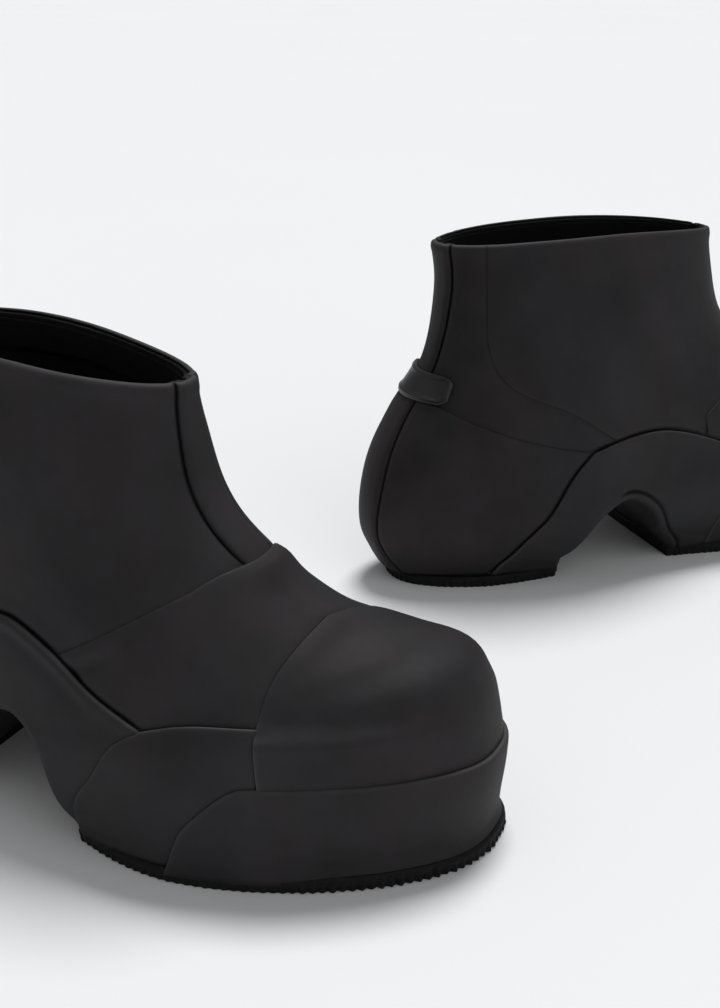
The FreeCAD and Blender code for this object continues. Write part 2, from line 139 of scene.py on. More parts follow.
def unit(vectors):
    return vectors / np.maximum(np.linalg.norm(vectors, axis=-1, keepdims=True), 1e-9)


def ease(a):
    a = np.clip(a, 0, 1)
    return a * a * (3 - 2 * a)


def base_grid():
    """Vertices, normals and triangles of the whole outer surface, as one closed ring of rows."""
    rows = [FIRST_ROW]
    for i in range(int(FIRST_ROW), math.ceil(LAST_ROW)):
        start, end = max(i, FIRST_ROW), min(i + 1, LAST_ROW)
        ends = surface(np.array([start, end]), np.zeros(2))
        steps = max(4, int(np.linalg.norm(ends[1] - ends[0]) / ROW_GAP))
        rows += list(np.linspace(start, end, steps + 1)[1:])
    rows = np.array(rows)
    turns = np.linspace(-1, 1, 2 * AROUND, endpoint=False)
    v, turn = np.meshgrid(rows, turns, indexing="ij")
    count = len(turns)
    i, j = np.meshgrid(np.arange(len(rows) - 1), np.arange(count), indexing="ij")
    a, b = i * count + j, i * count + (j + 1) % count
    c, d = a + count, b + count
    tris = np.concatenate([np.stack([a, c, b], -1).reshape(-1, 3),
                           np.stack([b, c, d], -1).reshape(-1, 3)])
    return surface(v, turn).reshape(-1, 3), normals(v, turn).reshape(-1, 3), tris


POINTS, NORMALS, TRIS = base_grid()

# ------------------------------------------------------------------ outlines on the surface

# Seams seen from the side, as x and z. Each list is the smooth curve through its points.
TOE_CAP_REAR = [(231, 43), (229.5, 60), (230, 74), (233, 83), (239, 93)]
BUMPER_TOP = [(231, 43), (262, 42), (305, 39.5)]
BUMPER_REAR = [(231, 43), (223, 41.5), (212, 32), (203, 20), (194, -5)]
FOXING_TOP = [(268, 63.5), (222, 63.5), (205, 62.5), (191, 59)]
FOXING_REAR = {
    "lateral": [(191, 59), (181, 52), (173, 39), (164, 25), (155, -5)],
    "medial": [(191, 59), (187, 48), (184, 33), (180, 18), (174, -5)],
}
BAND_TOP = {
    "lateral": [(100, 70.5), (115, 81), (134, 88), (154, 80), (172, 68), (191, 59), (205, 52)],
    "medial": [(100, 70.5), (119, 75), (138, 76), (154, 73), (172, 67), (191, 59), (205, 52)],
}
HEEL_TOP = [(-20, 101), (18, 97.5), (38, 89), (58, 81), (79, 75), (100, 70.5)]
HEEL_FRONT = [(100, 70.5), (90, 59), (79, 39.5), (62, 20.5), (46, -5)]
VAMP_TOP = [(240, 106), (211, 107.5), (199, 102), (187, 95.6), (173, 87.5), (157, 78.5)]
QUARTER_FRONT = [(49, 210), (49, 150), (49.5, 122), (59, 105), (88, 91.5), (107, 79), (122, 70)]
ARCH = {
    "lateral": [(96, 10), (104, 28), (116, 43), (133, 50.5), (147, 43), (153, 27), (156, 8)],
    "medial": [(89, 10), (96, 21), (108, 34), (122, 40.5), (135, 33), (143, 19), (156, 7)],
}
ARCH_PLANE = {"lateral": -60, "medial": 60}     # y of the planes those two are drawn in
RIM = [(-30, 168), (31, 171), (75, 173.5), (115, 174), (155, 171.5), (189, 168), (230, 162)]
BACK_STRIP = [(210, 9.5), (150, 9), (115, 7.5), (88, 10), (55, 12), (22, 10.5), (-5, 15)]
LABEL = [(-30, 98), (26, 96), (30, 98), (34, 107), (31.5, 109), (-30, 111)]
STRIP_HALF = 8.5
MIDLINE = -5
SEAM_SWEEP = 0.35               # the cap and vamp seams run forward on the medial side
FAR = 360
LAP = 4.0                       # how far a sheet runs on under its neighbour's edge
FLATTEST = 0.35                 # limit on how far a side view may be stretched


def smooth_line(points, steps=8):
    """Points along a smooth curve through the given ones."""
    p = np.array(points, float)
    if len(p) < 3:
        return p
    p = np.concatenate([[2 * p[0] - p[1]], p, [2 * p[-1] - p[-2]]])
    line = []
    for a, b, c, d in zip(p, p[1:], p[2:], p[3:]):
        line += [smooth_between(a, b, c, d, f) for f in np.arange(steps) / steps]
    return np.array(line + [p[-2]])


def polygon(*stretches):
    return np.concatenate([smooth_line(stretch) for stretch in stretches])


def edge_distance(points, flat_normals, loop):
    """Signed distance along the surface to a loop drawn in the side view; inside is positive."""
    start = loop
    run = np.roll(loop, -1, 0) - start
    length = np.maximum((run ** 2).sum(1), 1e-9)
    best = np.full(len(points), 1e9)
    away = np.zeros_like(points)
    inside = np.zeros(len(points), bool)
    for (sx, sz), (rx, rz), square in zip(start, run, length):
        dx, dz = points[:, 0] - sx, points[:, 1] - sz
        along = np.clip((dx * rx + dz * rz) / square, 0, 1)
        gap = np.stack([dx - along * rx, dz - along * rz], 1)
        far = np.hypot(gap[:, 0], gap[:, 1])
        nearer = far < best
        best = np.where(nearer, far, best)
        away[nearer] = gap[nearer]
        crosses = (points[:, 1] > sz) != (points[:, 1] > sz + rz)
        if rz:
            inside ^= crosses & (points[:, 0] < sx + rx * (points[:, 1] - sz) / rz)
    lean = (unit(away) * flat_normals).sum(1)
    stretch = np.maximum(np.sqrt(np.maximum(1 - lean ** 2, 0)), FLATTEST)
    return np.where(inside, best, -best) / stretch


def side_view(loop, sweep=0.0, sink=0.0):
    """Distance to a loop, which on the medial side runs forward by sweep and down by sink."""
    medial = np.maximum(POINTS[:, 1] - MIDLINE, 0)
    flat = POINTS[:, [0, 2]] + np.stack([-sweep * medial, sink * medial], 1)
    return edge_distance(flat, NORMALS[:, [0, 2]], loop)


def front_strip_distance():
    spread = np.sqrt(np.maximum(1 - NORMALS[:, 1] ** 2, FLATTEST ** 2))
    narrow = 2.6 * ease((POINTS[:, 2] - 135) / 35)
    across = STRIP_HALF - narrow - np.abs(POINTS[:, 1] - centreline(POINTS[:, 0]))
    return np.minimum(across / spread, np.minimum(POINTS[:, 0] - 110, POINTS[:, 2] - 85))


def back_strip_distance():
    heights, halves = np.array(BACK_STRIP)[::-1].T
    spread = np.sqrt(np.maximum(1 - NORMALS[:, 1] ** 2, FLATTEST ** 2))
    line = smooth_line(np.stack([heights, halves], 1))
    half = np.interp(POINTS[:, 2], line[:, 0], line[:, 1])
    return np.minimum((half - np.abs(POINTS[:, 1])) / spread, 60 - POINTS[:, 0])


def arch_line(y, steps=8):
    """The arch's outline in the plane at y, between its lateral and medial outlines."""
    share = (y - ARCH_PLANE["lateral"]) / (ARCH_PLANE["medial"] - ARCH_PLANE["lateral"])
    lateral, medial = (np.array(ARCH[side], float) for side in SIDES)
    return smooth_line(lateral + (medial - lateral) * share, steps)


LATERAL = POINTS[:, 1] < centreline(POINTS[:, 0])
ARCH_SKIN_Y = {"lateral": -50, "medial": 44}    # where the skin meets the arch


def arch_distance():
    """Distance from the arch's edge, positive in the rubber."""
    sides = {}
    for side, y in ARCH_SKIN_Y.items():
        line = arch_line(y)
        feet = [(line[-1][0] + 3, -30), (line[0][0] - 3, -30)]
        sides[side] = -side_view(np.concatenate([line, feet]))
    return np.where(LATERAL, sides["lateral"], sides["medial"])


def both_sides(top):
    return np.where(LATERAL, side_view(top["lateral"]), side_view(top["medial"]))


rim_curve = smooth_line(RIM)
RIM_GAP = np.interp(POINTS[:, 0], rim_curve[:, 0], rim_curve[:, 1]) - POINTS[:, 2]
ARCH_GAP = arch_distance()
REGION = {
    "toe_cap": side_view(polygon(TOE_CAP_REAR, [(FAR, 93), (FAR, 30)], [(231, 30)]), SEAM_SWEEP),
    "toe_bumper": side_view(polygon(BUMPER_REAR, [(FAR, -5), (FAR, 39)], BUMPER_TOP[::-1]),
                            sink=0.06),
    "back_strip": back_strip_distance(),
    "front_strip": front_strip_distance(),
    "heel_cover": side_view(polygon(HEEL_TOP, [(112, 60), (110, -10), (-40, -10), (-40, 101)])),
    "side_foxing": both_sides({
        side: polygon(FOXING_TOP, FOXING_REAR[side], [(155, -20), (268, -20)])
        for side in FOXING_REAR}),
    "arch_band": both_sides({
        side: polygon(BAND_TOP[side], [(205, -20), (40, -20)], HEEL_FRONT[::-1])
        for side in BAND_TOP}),
    "vamp": side_view(polygon(VAMP_TOP, [(157, 30), (FAR, 30), (FAR, 106)]), SEAM_SWEEP),
    "rear_quarter": side_view(polygon([(-40, 210), (130, 210)], [(130, 60), (-40, 60)])),
    "leg_panel": side_view(polygon(QUARTER_FRONT, [(122, 40), (270, 40), (270, 210)])),
    "heel_label": side_view(np.array(LABEL, float)),
}

# over: sheets that lie on top of it. level: how far it stands out. radius, drop: of its edge.
# lift: how far its edge lifts. dip: how deep the sheet below dips beside it, and how strong the
# painted shade in that dip is. pale: how strong the painted highlight along its edge is.
Sheet = namedtuple("Sheet", "over level radius drop lift dip pale")
SHEETS = {name: Sheet(*row) for name, row in {
    "rear_quarter": (("leg_panel", "heel_cover", "arch_band", "back_strip"),
                     -0.8, 1.0, 0.4, 0.0, 0.0, 0.0),
    "leg_panel": (("front_strip", "vamp", "arch_band"), -0.5, 0.9, 0.5, 0.1, 0.3, 0.25),
    "front_strip": (("vamp",), 0.1, 2.4, 1.5, 0.2, 1.5, 0.1),
    "back_strip": ((), 0.1, 2.4, 1.5, 0.2, 1.3, 0.1),
    "heel_cover": (("arch_band", "back_strip"), -0.3, 1.4, 0.45, 0.1, 0.12, 0.2),
    "vamp": (("toe_cap", "side_foxing", "arch_band"), 0.0, 1.4, 0.45, 0.05, 0.12, 0.12),
    "arch_band": (("side_foxing",), 0.6, 1.2, 1.0, 0.5, 1.2, 1.0),
    "side_foxing": (("toe_cap", "toe_bumper"), 0.5, 0.8, 0.7, 0.25, 0.45, 0.9),
    "toe_cap": (("toe_bumper",), 0.3, 0.7, 0.4, 0.05, 0.2, 0.9),
    "toe_bumper": ((), 1.3, 0.9, 0.9, 0.2, 0.15, 0.9),
    "heel_label": ((), 1.4, 0.8, 0.9, 0.0, 0.9, 0.5),
}.items()}
SIDED = ("rear_quarter", "leg_panel", "heel_cover", "arch_band", "side_foxing")
CUTS = [(name, side) for name in SHEETS for side in (SIDES if name in SIDED else (None,))]

# ------------------------------------------------------------------ cutting the sheets out


def split(fields, tris, values):
    """Splits the triangles that values crosses, so that none has both signs."""
    sign = np.where(np.abs(values) < ON_LINE, 0, np.sign(values)).astype(int)
    corner = sign[tris]
    crossed = (corner.max(1) > 0) & (corner.min(1) < 0)
    if not crossed.any():
        return fields, tris, values
    new_fields, new_values, made, pieces = [], [], {}, []
    count = len(fields)

    def between(a, b):
        key = (a, b) if a < b else (b, a)
        if key not in made:
            share = values[key[0]] / (values[key[0]] - values[key[1]])
            new_fields.append(fields[key[0]] + (fields[key[1]] - fields[key[0]]) * share)
            new_values.append(0.0)
            made[key] = count + len(new_fields) - 1
        return made[key]

    for tri in tris[crossed]:
        order = [int(k) for k in tri]
        signs = [sign[k] for k in order]
        if 0 in signs:
            turn = signs.index(0)
            a, b, c = order[turn:] + order[:turn]
            middle = between(b, c)
            pieces += [(a, b, middle), (a, middle, c)]
        else:
            lone = [k for k in range(3) if signs.count(signs[k]) == 1][0]
            a, b, c = order[lone:] + order[:lone]
            first, second = between(a, b), between(a, c)
            pieces += [(a, first, second), (first, b, c), (first, c, second)]
    fields = np.concatenate([fields, np.array(new_fields)])
    values = np.concatenate([values, np.array(new_values)])
    return fields, np.concatenate([tris[~crossed], np.array(pieces)]), values


def used_only(fields, tris):
    """The same triangles without the points that none of them uses."""
    used, index = np.unique(tris, return_inverse=True)
    return fields[used], index.reshape(-1, 3)


def keep_inside(fields, tris, values):
    fields, tris, values = split(fields, tris, values)
    return used_only(fields, tris[values[tris].sum(1) > 0])


def round_over(gap, radius, drop):
    """Zero away from an edge, falling by drop in a quarter round at it."""
    near = np.clip(1 - gap / radius, 0, 1)
    return -drop * (1 - np.sqrt(np.maximum(1 - near ** 2, 0)))


class Waves:
    """Soft uneven swells, a few tens of millimetres long, the same on every run."""

    def __init__(self, seed, length, height, count=9):
        draw = np.random.default_rng(seed)
        self.along = unit(draw.normal(size=(count, 3)))
        self.along *= (2 * np.pi / (length * draw.uniform(0.7, 1.6, count)))[:, None]
        self.phase = draw.uniform(0, 2 * np.pi, count)
        self.height = height / math.sqrt(count)

    def __call__(self, points):
        return self.height * np.sin(points @ self.along.T + self.phase).sum(1)


OWN, UNDER, RIM_D, ARCH_D, DIP = range(6, 11)       # columns after position and normal
EDGE_LEVELS = (0.22, 0.5, 0.9, 1.5, 2.4, 4.0)       # extra rows of points near an edge
UNDER_LEVELS = (0.0, 0.5, 1.2, 2.2, 3.6)
CREASE_LEVELS = (4.5, 5.0, 5.5, 6.2)                # round the crease beside the arch
NOTHING_NEAR = 50.0
DEEP_INSIDE = 60
ON_LINE = 0.03                  # nearer than this to a cut counts as on it
SHEET_THICK = 1.4


def cut_sheet(name, side):
    """The sheet's part of the grid: position, normal and the distances to its edges."""
    over = SHEETS[name].over
    own = REGION[name]
    under = np.full(len(POINTS), NOTHING_NEAR)
    dip, share = np.zeros(len(POINTS)), np.full(len(POINTS), 1e-9)
    for other in over + (("heel_label",) if name != "heel_label" else ()):
        near = np.exp(-np.maximum(-REGION[other], 0) / 1.5)
        dip += near * SHEETS[other].dip
        share += near
        if other in over:
            under = np.minimum(under, -REGION[other])
    fields = np.concatenate(
        [POINTS, NORMALS, np.stack([own, under, RIM_GAP, ARCH_GAP, dip / share], 1)], 1)
    tris = TRIS
    if side:
        on_side = LATERAL if side == "lateral" else ~LATERAL
        tris = tris[on_side[tris].any(1)]
    fields, tris = keep_inside(fields, tris, np.minimum(fields[:, OWN], DEEP_INSIDE))
    fields, tris = keep_inside(fields, tris, fields[:, UNDER] + LAP)
    fields, tris = keep_inside(fields, tris, fields[:, RIM_D])
    fields, tris = keep_inside(fields, tris, fields[:, ARCH_D])
    fields, tris = used_only(fields, largest_patch(tris))
    for column, levels in ((OWN, EDGE_LEVELS), (UNDER, UNDER_LEVELS), (RIM_D, EDGE_LEVELS),
                           (ARCH_D, EDGE_LEVELS + CREASE_LEVELS)):
        for level in levels:
            if fields[:, column].min() < level < fields[:, column].max():
                fields, tris, _ = split(fields, tris, fields[:, column] - level)
    return fields, tris


def largest_patch(tris):
    """The biggest connected patch, so that no crumb of a sheet is left."""
    label = np.arange(tris.max() + 1)
    while True:
        low = label[tris].min(1)
        before = label.copy()
        for k in range(3):
            np.minimum.at(label, tris[:, k], low)
        label = label[label]
        if (label == before).all():
            break
    patch = label[tris[:, 0]]
    patches, counts = np.unique(patch, return_counts=True)
    return tris[patch == patches[counts.argmax()]]


def stand_out(name, side, fields, waves):
    """How far the sheet's face stands out from the surface, and the strengths of the painted
    highlight along its edges and of the painted shade in its seams and creases."""
    sheet = SHEETS[name]
    points = fields[:, :3]
    own, under, rim, arch, dip = (fields[:, k] for k in (OWN, UNDER, RIM_D, ARCH_D, DIP))
    out = sheet.level + round_over(own, sheet.radius, sheet.drop) + waves(points)
    out += sheet.lift * (1 - ease((own - 1.5) / 5))
    out -= dip * (1 - ease(under / 2.6))
    out += 0.25 * dip * np.exp(-((under - 4.2) / 2.0) ** 2)
    out += round_over(rim, 1.6, 1.2) + 0.5 * np.exp(-((rim - 3) / 2.5) ** 2)
    out += round_over(arch, 5.0, 4.2)
    out += shaping(name, side, points, own)
    if name in ("vamp", "side_foxing"):     # the laps dive under the crease of the toe cap
        out -= 1.9 * ease(-under / 1.2) * ease((points[:, 0] - 195) / 10)
    if side:
        out -= foot_tuck(points)
    # The sheet sinks in just above the outsole, and the same amount is added to the painted shade
    # along its foot.
    low = (1 - ease((points[:, 2] - 5.0) / 2.6)) * (name != "toe_bumper")
    out -= low
    # Painted highlight: a pale line along the sheet's own edge and along the collar rim, where the
    # edges catch the light; the pale column sets its strength per sheet.
    painted_highlight = sheet.pale * np.exp(-np.maximum(own, 0) / 0.4)
    painted_highlight += 0.5 * np.exp(-np.maximum(rim, 0) / 0.7)
    # Painted shade: dark in the dip beside a neighbour's edge and along the foot of the sheet above
    # the outsole.
    painted_shade = dip * np.exp(-(np.maximum(under, 0) / 0.9) ** 2) + low
    # On the medial side the crease beside the arch is pressed in and given painted shade as well.
    if name in ("arch_band", "side_foxing") and side == "medial":
        crease = np.exp(-((arch - 5.0) / 0.8) ** 2) * ease((points[:, 0] - 114) / 10)
        out -= 1.8 * crease
        painted_shade = np.maximum(painted_shade, crease)
    # On the toe cap the painted edge highlight fades out above about 70 mm.
    if name == "toe_cap":
        painted_highlight *= ease((70 - points[:, 2]) / 12) * 0.85 + 0.15
    return out, np.clip(painted_highlight, 0, 1), np.clip(painted_shade, 0, 1)


TUCK_REACH = 44                 # the outsoles' corners are drawn in over this length,
TUCK_DEPTH = {"forepart": 6.5, "heel": 7.5}     # by this much at the arch
SOLID_TUCK = 11                 # the same for the solid outsoles
SHEET_TUCK = 0.5                # the sheets follow this share of it at the floor,
TUCK_HEIGHT = 20                # and none this far above the outsole
CORE_TUCK = 1.15                # the cores draw in a little more than the sheets,
CORE_MIDDLE = 30                # from this far either side of their middle
FOOT = {"forepart": 156.0, "heel": 89.0}        # where the outsoles end at the arch


def tuck(x, part, depth=None):
    """How far the corners of an outsole are drawn in near the arch, by x."""
    near = np.clip(1 - np.abs(x - FOOT[part]) / TUCK_REACH, 0, 1)
    return (depth or TUCK_DEPTH[part]) * near ** 1.4


def foot_tuck(points):
    """The sheets follow the outsole's rounded corners, less the higher they are."""
    drawn = np.maximum(tuck(points[:, 0], "forepart"), tuck(points[:, 0], "heel"))
    return SHEET_TUCK * drawn * (1 - ease((points[:, 2] - 4) / TUCK_HEIGHT)) ** 1.5


def hill(values, middle, spread):
    return np.exp(-((values - middle) / spread) ** 2)


def shaping(name, side, points, own):
    """Swells and creases that the layers underneath press through a sheet."""
    x, y, z = points.T
    middle = y - centreline(x)
    if name == "vamp":
        ridge = 2.2 * hill(own, 5.5, 5.5) * hill(middle, 6, 17) * (x > 190)
        wrinkle = hill(x, 170, 9) * (middle < 0)
        return ridge + wrinkle * (0.5 * hill(own, 3.0, 1.8) - 0.8 * hill(own, 7.5, 2.4))
    if name == "toe_cap":
        fade = 1 - ease((x - 258) / 36)
        step = 0.9 * ease((62 - z) / 3.5) + 0.5 * hill(z, 58, 2.6)
        hollow = 1.6 * hill(z, 65, 3.6) * ease((own + 3) / 10)
        return fade * (step - hollow) + 0.6 * hill(own, 4, 4) * ease((z - 74) / 10)
    if name == "toe_bumper":
        front = ease((x - 225) / 40)
        lean = 0.5 - 3.2 * ease((38 - z) / 34)
        return front * (lean + 1.5 * ease((8.5 - z) / 3.5))
    if name == "arch_band" and side == "lateral":
        along = ease((x - 120) / 12) * ease((175 - x) / 12)
        return along * (0.5 * hill(own, 2.5, 2.0) - 0.5 * hill(own, 6, 2.5))
    if name == "rear_quarter":
        return -0.8 * hill(z, 98 - 0.35 * np.maximum(x - 20, 0), 4) * hill(x, 42, 16)
    if name == "heel_label":
        return 0.5 * hill(own, 1.7, 0.45)
    return np.zeros(len(points))


def rim_loops(tris):
    """Edges that belong to one triangle, in that triangle's direction."""
    edges = np.concatenate([tris[:, [0, 1]], tris[:, [1, 2]], tris[:, [2, 0]]])
    keys = np.sort(edges, 1)
    _, first, counts = np.unique(keys, axis=0, return_index=True, return_counts=True)
    return edges[first[counts == 1]]


def closed_sheet(fields, tris, out, thick):
    """Both faces of a sheet and the strip that joins them along its edge."""
    face = fields[:, :3] + unit(fields[:, 3:6]) * out[:, None]
    back = fields[:, :3] + unit(fields[:, 3:6]) * (out - thick)[:, None]
    count = len(face)
    edges = rim_loops(tris)
    joins = [np.stack([edges[:, 1], edges[:, 0], edges[:, 0] + count], 1),
             np.stack([edges[:, 1], edges[:, 0] + count, edges[:, 1] + count], 1)]
    return np.concatenate([face, back]), np.concatenate([tris, tris[:, ::-1] + count] + joins)


# ------------------------------------------------------------------ from boot to scene


def standing_origin(boot):
    """Floor point of a boot's own frame, from where its forepart outsole stands."""
    low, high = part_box(boot + "_outsole_forepart")
    edge, outwards, tooth = sole_outline("forepart", drawn_in=SOLID_TUCK)
    local = edge + outwards * tooth[:, None]
    turn, mirror = YAW[boot], BOOTS[boot]
    x = local[:, 0] * math.cos(turn) - mirror * local[:, 1] * math.sin(turn)
    y = local[:, 0] * math.sin(turn) + mirror * local[:, 1] * math.cos(turn)
    return ((low.x + high.x) / 2 - (x.min() + x.max()) / 2 * MM,
            (low.y + high.y) / 2 - (y.min() + y.max()) / 2 * MM)


def to_scene(points, boot):
    turn, mirror = YAW[boot], BOOTS[boot]
    x0, y0 = ORIGIN[boot]
    x, y, z = points[:, 0] * MM, points[:, 1] * MM * mirror, points[:, 2] * MM
    return np.stack([x0 + x * math.cos(turn) - y * math.sin(turn),
                     y0 + x * math.sin(turn) + y * math.cos(turn), z], 1)


def from_scene(points, boot):
    turn, mirror = YAW[boot], BOOTS[boot]
    x0, y0 = ORIGIN[boot]
    x, y = points[:, 0] - x0, points[:, 1] - y0
    return np.stack([x * math.cos(turn) + y * math.sin(turn),
                     mirror * (y * math.cos(turn) - x * math.sin(turn)), points[:, 2]], 1) / MM


def place(name, data):
    """An object with the given data, linked into the scene."""
    item = bpy.data.objects.new(name, data)
    bpy.context.scene.collection.objects.link(item)
    return item


def add_piece(suffix, node, boot, points, faces, marks=None, smooth=True):
    """One visible piece of a boot, which stands for a CAD node and looks like its material."""
    name, slot = node + suffix, slot_of[node]
    mesh = bpy.data.meshes.new(name)
    faces = [list(map(int, face)) for face in faces]
    if BOOTS[boot] < 0:
        faces = [face[::-1] for face in faces]
    mesh.from_pydata(to_scene(points, boot).tolist(), [], faces)
    mesh.validate()
    mesh.polygons.foreach_set("use_smooth", [smooth] * len(mesh.polygons))
    for key, values in (marks or {}).items():
        layer = mesh.attributes.new(key, "FLOAT", "POINT")
        layer.data.foreach_set("value", np.resize(values, len(mesh.vertices)).astype(np.float32))
    mesh.materials.append(MATERIALS[slot])
    mesh.update()
    piece = place(name, mesh)
    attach(piece, boot + "_boot")
    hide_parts(node)
    return piece


# ------------------------------------------------------------------ outsoles

TOOTH_PITCH = 3.4
TOOTH_DEPTH = 1.6               # on the solid outsoles
WELT = 0.8                      # and how far out from the surface their tooth roots stand
PINKING = {"forepart": (0.6, 1.5), "heel": (1.4, 0.8)}      # welt and tooth depth of the slabs
SPAN = {"forepart": (FOOT["forepart"], 400), "heel": (-50, FOOT["heel"])}   # x range
SOLE_LAYERS = (                 # height, how far out, share of the tooth's depth
    (0.0, -0.4, 0.8), (0.5, 0.0, 1.0), (1.8, 0.1, 0.9), (3.0, 0.5, 0.35), (4.6, 0.6, 0.05),
    (SOLE, -0.2, 0.0))
OUTLINE_STEPS = 1600
GROUND_ROW = 10.0               # the station at floor height
GROOVE = (4.0, 2.0, 12.0)       # width, depth and pitch of the grooves underneath
# where the grooves start, how many there are and their half length
GROOVES = {"forepart": (FOOT["forepart"] + 8, 10, 30.0), "heel": (24, 5, 22.0)}


def ground_ring(outset):
    turns = np.linspace(-1, 1, OUTLINE_STEPS, endpoint=False)
    rows = np.full(OUTLINE_STEPS, GROUND_ROW)
    flat = normals(rows, turns) * (1, 1, 0)
    return surface(rows, turns)[:, :2] + unit(flat)[:, :2] * outset


def sole_outline(part, welt=WELT, depth=TOOTH_DEPTH, drawn_in=None):
    """Evenly spaced open run of the outsole's toothed edge, every second point standing out."""
    first_x, last_x = SPAN[part]
    ring = ground_ring(welt)
    if part == "heel":
        ring = np.roll(ring, OUTLINE_STEPS // 2, 0)
    drawn = tuck(ring[:, 0], part, drawn_in)
    ring[:, 1] -= np.sign(ring[:, 1] - centreline(ring[:, 0])) * drawn
    run = ring[(ring[:, 0] > first_x) & (ring[:, 0] < last_x)]
    length = np.concatenate([[0], np.cumsum(np.linalg.norm(np.diff(run, axis=0), axis=1))])
    count = 2 * int(length[-1] / TOOTH_PITCH)
    even = np.linspace(0, length[-1], count + 1)
    edge = np.stack([np.interp(even, length, run[:, k]) for k in range(2)], 1)
    along = unit(np.gradient(edge, axis=0))
    outwards = np.stack([-along[:, 1], along[:, 0]], 1)
    middle = edge - np.stack([np.full(len(edge), 110.0), centreline(edge[:, 0])], 1)
    outwards *= np.sign((outwards * middle).sum(1))[:, None]
    return edge, outwards, np.arange(count + 1) % 2 * depth


def outsole_mesh(part, draw):
    """Moulded slab with a pinked edge of uneven teeth; the grooves underneath are cut afterwards by
    cut_grooves.
    """
    edge, outwards, tooth = sole_outline(part, *PINKING[part])
    tooth = tooth * draw.uniform(0.7, 1.15, len(tooth))
    if part == "forepart":
        tooth *= 0.55 + 0.45 * ease((edge[:, 0] - 225) / 40)
    rings = []
    for z, outset, share in SOLE_LAYERS:
        out = outset + tooth * share + draw.normal(0, 0.05, len(tooth))
        ring = edge + outwards * out[:, None]
        rings.append(np.concatenate([ring, np.full((len(ring), 1), z)], 1))
    count = len(edge)
    faces = [[k * count + i, k * count + (i + 1) % count, (k + 1) * count + (i + 1) % count,
              (k + 1) * count + i] for k in range(len(SOLE_LAYERS) - 1) for i in range(count)]
    faces += [list(range(count))[::-1],
              [(len(SOLE_LAYERS) - 1) * count + i for i in range(count)]]
    return np.concatenate(rings), faces


def groove_mesh(part):
    """Drafted bars that cut the grooves."""
    start, number, half = GROOVES[part]
    wide, deep, pitch = GROOVE
    section = [(-wide / 2 - 0.3, -1.0), (wide / 2 + 0.3, -1.0), (wide / 2 - 0.3, deep - 0.4),
               (wide / 2 - 0.9, deep), (-wide / 2 + 0.9, deep), (-wide / 2 + 0.3, deep - 0.4)]
    points, faces = [], []
    for i in range(number):
        x = start + pitch * i + wide / 2
        first = len(points)
        middle = float(centreline(x))
        for y in (middle - half, middle + half):
            points += [(x + dx, y, z) for dx, z in section]
        n = len(section)
        faces += [[first + k, first + (k + 1) % n, first + n + (k + 1) % n, first + n + k]
                  for k in range(n)]
        faces += [[first + k for k in range(n)][::-1], [first + n + k for k in range(n)]]
    return np.array(points), faces


def cut_grooves(piece, boot, part):
    """Takes the grooves out of an outsole piece and leaves one plain closed mesh."""
    points, faces = groove_mesh(part)
    tool_mesh = bpy.data.meshes.new("grooves")
    tool_mesh.from_pydata(to_scene(points, boot).tolist(), [], faces)
    tool = place("grooves", tool_mesh)
    for mesh in (tool_mesh, piece.data):
        face_outwards(mesh)
    modifier = piece.modifiers.new("grooves", "BOOLEAN")
    modifier.operation, modifier.object, modifier.solver = "DIFFERENCE", tool, "EXACT"
    bpy.context.view_layer.update()
    cut = piece.evaluated_get(bpy.context.evaluated_depsgraph_get())
    done = bpy.data.meshes.new_from_object(cut)
    piece.modifiers.clear()
    piece.data = done
    bpy.data.objects.remove(tool)


def face_outwards(mesh):
    shape = bmesh.new()
    shape.from_mesh(mesh)
    bmesh.ops.recalc_face_normals(shape, faces=shape.faces)
    shape.to_mesh(mesh)
    shape.free()


ORIGIN = {boot: standing_origin(boot) for boot in BOOTS}

# ------------------------------------------------------------------ inner pieces

INSOLE = [(-30, 63), (40, 62.5), (80, 61.5), (115, 58), (150, 51), (185, 45), (225, 43), (320, 45)]
BOARD = 2.0
FOOTBED = 4.0
INSIDE = {"interlining": (2.3, 0.7, 1.4, 0.5), "lining_sock": (3.1, 1.1, 0.7, 2.2),
          "collar_tape": (4.3, 0.6, 2.4, 0.0)}      # depth, thickness, below rim, above board
TAPE_WIDE = 13
ARCH_THICK = 2.0
ARCH_EDGE = 4.0                 # the arch sheet's sides lie this far inside the surface


def insole_height(x):
    line = smooth_line(INSOLE)
    return np.interp(x, line[:, 0], line[:, 1])


def inner_layer(name, waves):
    """A cloth layer that lines the boot, cut from the grid and moved inwards."""
    depth, thick, below_rim, above_board = INSIDE[name]
    fields = np.concatenate([POINTS, NORMALS, np.stack([RIM_GAP] * 4, 1)], 1)
    fields, tris = keep_inside(fields, TRIS, RIM_GAP - below_rim)
    moved = fields[:, :3] - fields[:, 3:6] * (depth + thick)
    fields, tris = keep_inside(fields, tris, moved[:, 2] - insole_height(moved[:, 0]) - above_board)
    if name == "collar_tape":
        fields, tris = keep_inside(fields, tris, below_rim + TAPE_WIDE - fields[:, OWN])
    fields, tris = used_only(fields, largest_patch(tris))
    out = -depth + waves(fields[:, :3])
    return closed_sheet(fields, tris, out, thick)


def strip_mesh(grid):
    """Quads over a grid of points, rows by columns."""
    rows, columns = grid.shape[:2]
    i, j = np.meshgrid(np.arange(rows - 1), np.arange(columns - 1), indexing="ij")
    a = i * columns + j
    quads = np.stack([a, a + 1, a + columns + 1, a + columns], -1)
    return grid.reshape(-1, 3), quads.reshape(-1, 4)


